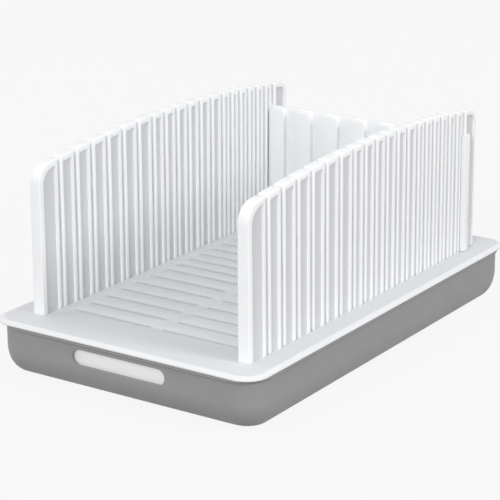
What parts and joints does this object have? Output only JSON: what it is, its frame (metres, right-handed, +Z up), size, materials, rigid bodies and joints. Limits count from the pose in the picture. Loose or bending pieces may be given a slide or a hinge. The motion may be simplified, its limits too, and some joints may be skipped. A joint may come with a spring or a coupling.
{
  "type": "bread slicer guide",
  "caption": "Tabletop bread slicing guide: slotted side guides and a ribbed backstop on a cutting board over a crumb tray with hand slots.",
  "frame": {"origin": "bottom centre of the outline, on the surface that the four feet stand on", "axes": "+X to the right seen from the front, +Y from the front with the wide ribs to the rear with the backstop, +Z up"},
  "size_m": [0.1982, 0.3224, 0.142],
  "materials": {
    "tray_grey": "satin moulded polypropylene",
    "foot_rubber": "matte moulded rubber",
    "board_white": "fine matte moulded polypropylene",
    "guide_white": "semi-gloss moulded polypropylene"
  },
  "bodies": {
    "tray_base": {"crumb_tray": "tray_grey", "front_left_foot": "foot_rubber", "front_right_foot": "foot_rubber", "rear_left_foot": "foot_rubber", "rear_right_foot": "foot_rubber"},
    "board_lid": {"cutting_board": "board_white"},
    "guide_left": {"left_guide": "guide_white"},
    "guide_right": {"right_guide": "guide_white"},
    "stop_plate": {"backstop": "guide_white"}
  },
  "joints": [
    {"name": "board_lift", "type": "slide", "parent": "tray_base", "child": "board_lid", "axis": [0, 0, 1], "range_m": [0, 0.04]},
    {"name": "left_guide_lift", "type": "slide", "parent": "board_lid", "child": "guide_left", "axis": [0, 0, 1], "range_m": [0, 0.02]},
    {"name": "right_guide_lift", "type": "slide", "parent": "board_lid", "child": "guide_right", "axis": [0, 0, 1], "range_m": [0, 0.02]},
    {"name": "backstop_lift", "type": "slide", "parent": "guide_left", "child": "stop_plate", "axis": [0, 0, 1], "range_m": [0, 0.11]}
  ],
  "couplings": [
    {"joint": "right_guide_lift", "follows": "left_guide_lift", "ratio": 1}
  ]
}
